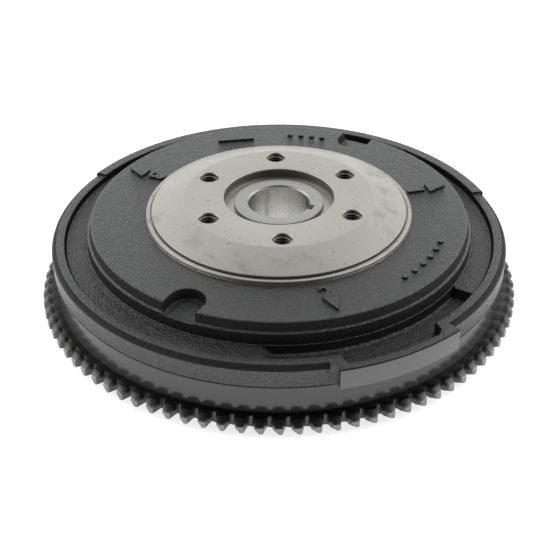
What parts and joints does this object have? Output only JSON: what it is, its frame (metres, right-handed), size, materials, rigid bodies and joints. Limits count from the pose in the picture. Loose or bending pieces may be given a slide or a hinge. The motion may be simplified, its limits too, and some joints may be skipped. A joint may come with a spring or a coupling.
{
  "type": "flywheel",
  "caption": "Round cast flywheel for a small engine, with a turned drive face, a keyed hub, timing marks, a trigger pad on the rim and a starter ring gear around its back edge.",
  "frame": {"origin": "centre of the back face, on the crankshaft axis", "axes": "+Z along the crankshaft axis from the back face towards the drive face, -Y through the tooth between the two front timing features, just before the trigger pad"},
  "size_m": [0.271, 0.271, 0.0573],
  "materials": {
    "black_casting": "semi-gloss black coating over a fine cast texture, bare turned iron on the drive face",
    "gear_steel": "dark oiled hardened steel, lighter on the tooth tips",
    "turned_steel": "bare turned steel, satin"
  },
  "bodies": {
    "root": {"flywheel_casting": "black_casting", "ring_gear": "gear_steel", "hub_bush": "turned_steel"}
  },
  "joints": []
}
